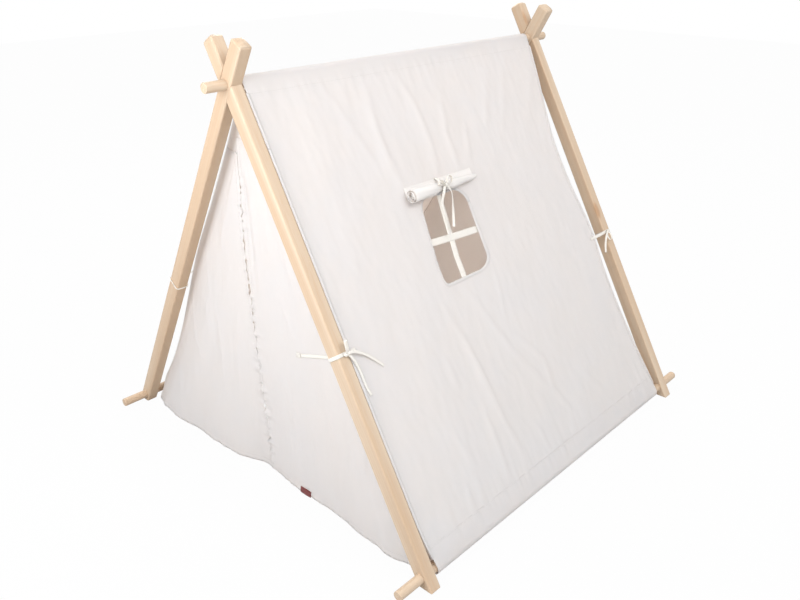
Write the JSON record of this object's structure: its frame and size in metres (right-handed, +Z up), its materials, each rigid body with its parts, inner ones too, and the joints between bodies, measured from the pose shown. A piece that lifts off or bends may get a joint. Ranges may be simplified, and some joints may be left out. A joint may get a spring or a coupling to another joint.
{
  "type": "play tent",
  "caption": "Ridge play tent: crossed wooden poles, round dowels and a cotton cover with two door flaps and a window under a rolled, tied blind.",
  "frame": {"origin": "middle of the tent on the floor that its poles stand on", "axes": "+Z up, +Y along the ridge from the door end to the closed end, +X towards the slope with the window"},
  "size_m": [1.1218, 1.197, 1.047],
  "materials": {
    "pole_right_front": "satin",
    "pole_left_front": "satin",
    "pole_right_rear": "satin",
    "pole_left_rear": "satin",
    "roof_panel_right": "matte",
    "roof_panel_left": "matte",
    "ridge_tunnel": "matte",
    "hem_sleeve_right": "matte",
    "hem_sleeve_left": "matte",
    "window_binding": "matte",
    "muntin_upright": "matte",
    "muntin_cross": "matte",
    "front_facing_right": "matte",
    "front_facing_left": "matte",
    "rear_gable": "matte",
    "tie_band_right_front": "matte",
    "tie_link_right_front": "matte",
    "tie_knot_right_front": "matte",
    "tie_band_left_front": "matte",
    "tie_link_left_front": "matte",
    "tie_knot_left_front": "matte",
    "tie_band_right_rear": "matte",
    "tie_link_right_rear": "matte",
    "tie_knot_right_rear": "matte",
    "tie_band_left_rear": "matte",
    "tie_link_left_rear": "matte",
    "tie_knot_left_rear": "matte",
    "tie_loop_right_front": "matte",
    "tie_tail_long_right_front": "matte",
    "tie_tail_short_right_front": "matte",
    "tie_loop_right_rear": "matte",
    "tie_tail_right_rear": "matte",
    "tie_tail_left_front": "matte",
    "tie_tail_left_rear": "matte",
    "door_flap_right": "matte",
    "door_ribbon_right": "matte",
    "hem_tab": "matte",
    "door_flap_left": "matte",
    "window_blind_roll": "matte",
    "blind_tie_band": "matte",
    "blind_tie_knot": "matte",
    "blind_tie_tail_left": "matte",
    "blind_tie_tail_right": "matte",
    "blind_tie_loop_left": "matte",
    "blind_tie_loop_right": "matte",
    "ridge_dowel": "satin",
    "base_dowel_right": "satin",
    "base_dowel_left": "satin"
  },
  "bodies": {
    "frame": {"pole_right_front": "pole_right_front", "pole_left_front": "pole_left_front", "pole_right_rear": "pole_right_rear", "pole_left_rear": "pole_left_rear", "roof_panel_right": "roof_panel_right", "roof_panel_left": "roof_panel_left", "ridge_tunnel": "ridge_tunnel", "hem_sleeve_right": "hem_sleeve_right", "hem_sleeve_left": "hem_sleeve_left", "window_binding": "window_binding", "muntin_upright": "muntin_upright", "muntin_cross": "muntin_cross", "front_facing_right": "front_facing_right", "front_facing_left": "front_facing_left", "rear_gable": "rear_gable", "tie_band_right_front": "tie_band_right_front", "tie_link_right_front": "tie_link_right_front", "tie_knot_right_front": "tie_knot_right_front", "tie_band_left_front": "tie_band_left_front", "tie_link_left_front": "tie_link_left_front", "tie_knot_left_front": "tie_knot_left_front", "tie_band_right_rear": "tie_band_right_rear", "tie_link_right_rear": "tie_link_right_rear", "tie_knot_right_rear": "tie_knot_right_rear", "tie_band_left_rear": "tie_band_left_rear", "tie_link_left_rear": "tie_link_left_rear", "tie_knot_left_rear": "tie_knot_left_rear", "tie_loop_right_front": "tie_loop_right_front", "tie_tail_long_right_front": "tie_tail_long_right_front", "tie_tail_short_right_front": "tie_tail_short_right_front", "tie_loop_right_rear": "tie_loop_right_rear", "tie_tail_right_rear": "tie_tail_right_rear", "tie_tail_left_front": "tie_tail_left_front", "tie_tail_left_rear": "tie_tail_left_rear"},
    "door_right": {"door_flap_right": "door_flap_right", "door_ribbon_right": "door_ribbon_right", "hem_tab": "hem_tab"},
    "door_left": {"door_flap_left": "door_flap_left"},
    "window_blind": {"window_blind_roll": "window_blind_roll", "blind_tie_band": "blind_tie_band", "blind_tie_knot": "blind_tie_knot", "blind_tie_tail_left": "blind_tie_tail_left", "blind_tie_tail_right": "blind_tie_tail_right", "blind_tie_loop_left": "blind_tie_loop_left", "blind_tie_loop_right": "blind_tie_loop_right"},
    "ridge_dowel": {"ridge_dowel": "ridge_dowel"},
    "base_dowel_right": {"base_dowel_right": "base_dowel_right"},
    "base_dowel_left": {"base_dowel_left": "base_dowel_left"}
  },
  "joints": [
    {"name": "door_right_hinge", "type": "hinge", "parent": "frame", "child": "door_right", "pos_m": [0.50554, -0.4952, 0], "axis": [-0.4942, 0.0112, 0.8693], "range_deg": [0, 90]},
    {"name": "door_left_hinge", "type": "hinge", "parent": "frame", "child": "door_left", "pos_m": [-0.50554, -0.4952, 0], "axis": [-0.4942, -0.0112, -0.8693], "range_deg": [0, 90]},
    {"name": "window_blind_seam", "type": "hinge", "parent": "frame", "child": "window_blind", "pos_m": [0.15677, -0.068, 0.71184], "axis": [0, -1, 0], "range_deg": [0, 70]},
    {"name": "ridge_dowel_slide", "type": "slide", "parent": "frame", "child": "ridge_dowel", "axis": [0, 1, 0], "range_m": [-0.048, 0.048]},
    {"name": "base_dowel_right_slide", "type": "slide", "parent": "frame", "child": "base_dowel_right", "axis": [0, 1, 0], "range_m": [-0.066, 0.066]},
    {"name": "base_dowel_left_slide", "type": "slide", "parent": "frame", "child": "base_dowel_left", "axis": [0, 1, 0], "range_m": [-0.066, 0.066]}
  ]
}
